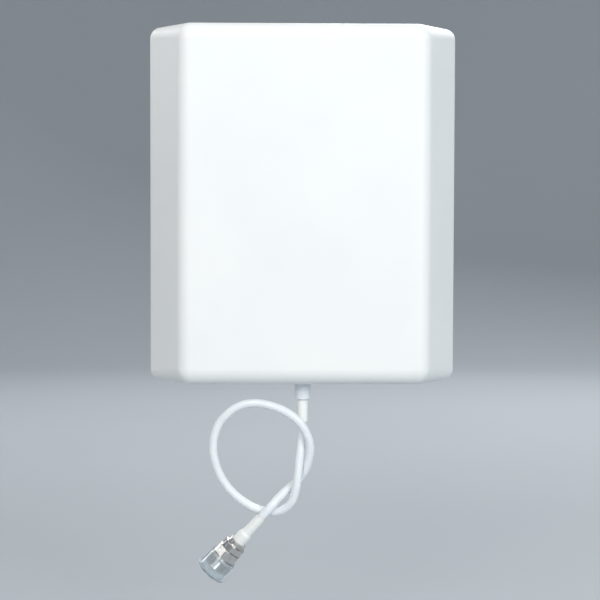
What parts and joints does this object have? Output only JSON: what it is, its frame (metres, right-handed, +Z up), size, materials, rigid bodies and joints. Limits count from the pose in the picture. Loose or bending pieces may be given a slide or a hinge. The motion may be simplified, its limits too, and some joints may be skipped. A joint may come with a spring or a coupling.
{
  "type": "flat panel antenna",
  "caption": "White flat panel antenna with slanted sides on a tilting pole clamp, with a short knotted coaxial lead that ends in a capped threaded connector.",
  "frame": {"origin": "centre of the pole clamp, on the pole's axis, midway up the jaws", "axes": "+Z up along the pole, the panel faces -Y, +X to the right as seen from in front of the panel"},
  "size_m": [0.18, 0.1763, 0.3276],
  "materials": {
    "radome_plastic": "satin moulded white",
    "gasket_rubber": "matte",
    "plate_aluminium": "satin rolled sheet",
    "galvanised_steel": "galvanised, dull",
    "cast_alloy": "as cast, matte",
    "zinc_steel": "bright zinc",
    "patch_metal": "satin",
    "copper_strip": "satin",
    "nylon": "matte natural",
    "cable_jacket": "semi-gloss",
    "shrink_sleeve": "satin",
    "gland_plastic": "satin",
    "nickel_plate": "nickel plated, turned",
    "ptfe": "satin",
    "gold_contact": "polished",
    "cap_plastic": "translucent, flexible"
  },
  "bodies": {
    "pole_mount": {"pole_bracket": "galvanised_steel", "front_jaw": "cast_alloy", "clamp_bolts": "zinc_steel", "clamp_head_washers": "zinc_steel", "pivot_bolt": "zinc_steel", "pivot_washers": "zinc_steel", "pivot_nut": "zinc_steel", "pivot_spacer": "zinc_steel", "friction_washers": "nylon", "lock_bolts": "zinc_steel", "lock_washers": "zinc_steel", "lock_nuts": "zinc_steel"},
    "panel": {"radome": "radome_plastic", "radome_gasket": "gasket_rubber", "back_plate": "plate_aluminium", "cover_screws": "zinc_steel", "reflector_tray": "plate_aluminium", "tray_standoffs": "zinc_steel", "tray_screws": "zinc_steel", "low_band_patch": "patch_metal", "high_band_patch": "patch_metal", "patch_spacers": "nylon", "stack_spacers": "nylon", "patch_screws": "nylon", "ground_post": "gold_contact", "feed_strip": "copper_strip", "inner_coax": "cable_jacket", "coax_clip": "nylon", "coax_clip_screws": "zinc_steel", "cable_gland": "gland_plastic", "gland_nut": "gland_plastic", "exit_sleeve": "shrink_sleeve", "pigtail_cord": "cable_jacket", "connector_sleeve": "shrink_sleeve", "crimp_ferrule": "nickel_plate", "connector_nut": "nickel_plate", "connector_body": "nickel_plate", "connector_insulator": "ptfe", "connector_contact": "gold_contact", "panel_bracket": "galvanised_steel", "bracket_studs": "zinc_steel", "bracket_washers": "zinc_steel", "bracket_nuts": "zinc_steel"},
    "rear_jaw_set": {"rear_jaw": "cast_alloy", "clamp_washers": "zinc_steel", "clamp_spring_washers": "zinc_steel", "clamp_nuts": "zinc_steel"},
    "connector_cap": {"connector_cap": "cap_plastic"}
  },
  "joints": [
    {"name": "panel_tilt", "type": "hinge", "parent": "pole_mount", "child": "panel", "pos_m": [0, -0.05, 0], "axis": [1, 0, 0], "range_deg": [-20, 20]},
    {"name": "jaw_slide", "type": "slide", "parent": "pole_mount", "child": "rear_jaw_set", "axis": [0, 1, 0], "range_m": [-0.016, 0.01]},
    {"name": "cap_pull", "type": "slide", "parent": "panel", "child": "connector_cap", "axis": [-0.659, 0.1736, -0.7319], "range_m": [0, 0.016]}
  ]
}
